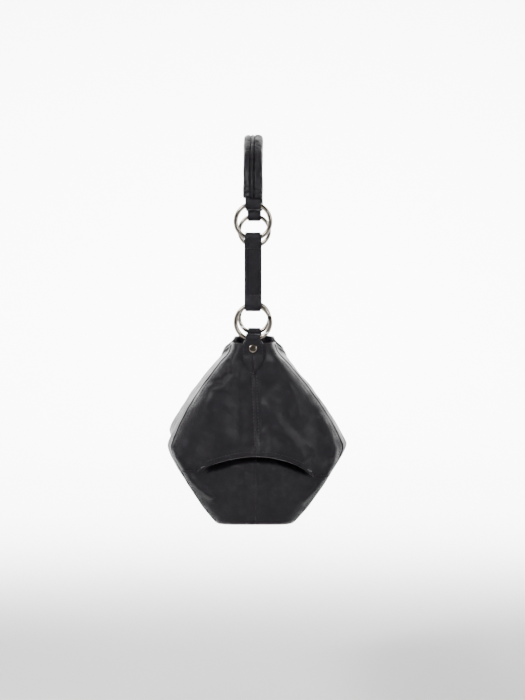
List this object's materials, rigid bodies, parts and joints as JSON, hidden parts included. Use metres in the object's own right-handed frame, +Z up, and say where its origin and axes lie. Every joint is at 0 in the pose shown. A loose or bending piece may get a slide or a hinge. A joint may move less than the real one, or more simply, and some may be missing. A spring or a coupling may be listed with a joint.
{
  "type": "hobo bag",
  "caption": "Soft leather hobo bag hung from a padded handle by O-rings, short straps and spring-gate rings, with riveted tabs and tucked ends.",
  "frame": {"origin": "hang point: underside of the middle of the padded handle", "axes": "+Z up, +X along the bag towards one narrow end, -Y towards the front"},
  "size_m": [0.3192, 0.196, 0.4256],
  "materials": {
    "black_leather": "semi-matte nappa, fine grain",
    "nickel": "polished nickel plate",
    "lining_cloth": "black cotton twill",
    "padding_foam": "open foam",
    "filler_board": "fibre board"
  },
  "bodies": {
    "handle": {"handle_cover": "black_leather", "handle_padding": "padding_foam", "handle_seam_strip": "black_leather", "handle_end_loop_left": "black_leather", "handle_end_loop_right": "black_leather"},
    "upper_ring_left": {"upper_ring_left": "nickel"},
    "upper_ring_right": {"upper_ring_right": "nickel"},
    "strap_left": {"strap_left": "black_leather", "strap_filler_left": "filler_board"},
    "strap_right": {"strap_right": "black_leather", "strap_filler_right": "filler_board"},
    "gate_ring_left": {"gate_ring_left": "nickel", "gate_pin_left": "nickel"},
    "gate_ring_right": {"gate_ring_right": "nickel", "gate_pin_right": "nickel"},
    "gate_left": {"gate_left": "nickel"},
    "gate_right": {"gate_right": "nickel"},
    "bag": {"front_panel": "black_leather", "back_panel": "black_leather", "base_panel": "black_leather", "base_board": "filler_board", "lining": "lining_cloth", "mouth_facing": "black_leather", "end_upper_front_left": "black_leather", "end_upper_back_left": "black_leather", "end_lower_front_left": "black_leather", "end_lower_back_left": "black_leather", "end_tuck_left": "black_leather", "end_upper_front_right": "black_leather", "end_upper_back_right": "black_leather", "end_lower_front_right": "black_leather", "end_lower_back_right": "black_leather", "end_tuck_right": "black_leather", "tab_left": "black_leather", "tab_right": "black_leather", "rivet_left": "nickel", "rivet_right": "nickel", "rivet_back_left": "nickel", "rivet_back_right": "nickel", "snap_front": "nickel", "snap_back": "nickel", "inner_pocket": "lining_cloth", "pocket_binding": "black_leather"}
  },
  "joints": [
    {"name": "handle_swing", "type": "hinge", "parent": "handle", "child": "upper_ring_left", "pos_m": [-0.145, 0, -0.09], "axis": [1, 0, 0], "range_deg": [-90, 90]},
    {"name": "right_ring_swing", "type": "hinge", "parent": "handle", "child": "upper_ring_right", "pos_m": [0.145, 0, -0.09], "axis": [1, 0, 0], "range_deg": [-90, 90]},
    {"name": "strap_sway", "type": "hinge", "parent": "upper_ring_left", "child": "strap_left", "pos_m": [-0.145, 0, -0.10706], "axis": [0, -1, 0], "range_deg": [-35, 35]},
    {"name": "right_strap_sway", "type": "hinge", "parent": "upper_ring_right", "child": "strap_right", "pos_m": [0.145, 0, -0.10706], "axis": [0, -1, 0], "range_deg": [-35, 35]},
    {"name": "left_gate_ring_tilt", "type": "hinge", "parent": "strap_left", "child": "gate_ring_left", "pos_m": [-0.145, 0, -0.17906], "axis": [0, -1, 0], "range_deg": [-35, 35]},
    {"name": "right_gate_ring_tilt", "type": "hinge", "parent": "strap_right", "child": "gate_ring_right", "pos_m": [0.145, 0, -0.17906], "axis": [0, -1, 0], "range_deg": [-35, 35]},
    {"name": "bag_tilt", "type": "hinge", "parent": "strap_left", "child": "bag", "pos_m": [-0.145, 0, -0.17906], "axis": [0, -1, 0], "range_deg": [-35, 35]},
    {"name": "left_gate", "type": "hinge", "parent": "gate_ring_left", "child": "gate_left", "pos_m": [-0.145, -0.01763, -0.1914], "axis": [1, 0, 0], "range_deg": [0, 30], "stiffness_Nm_per_rad": 0.02, "springref_deg": -17.19},
    {"name": "right_gate", "type": "hinge", "parent": "gate_ring_right", "child": "gate_right", "pos_m": [0.145, 0.01763, -0.1914], "axis": [-1, 0, 0], "range_deg": [0, 30], "stiffness_Nm_per_rad": 0.02, "springref_deg": -17.19}
  ],
  "couplings": [
    {"joint": "right_ring_swing", "follows": "handle_swing", "ratio": 1},
    {"joint": "right_strap_sway", "follows": "strap_sway", "ratio": 1},
    {"joint": "left_gate_ring_tilt", "follows": "strap_sway", "ratio": -1},
    {"joint": "right_gate_ring_tilt", "follows": "strap_sway", "ratio": -1},
    {"joint": "bag_tilt", "follows": "strap_sway", "ratio": -1}
  ]
}
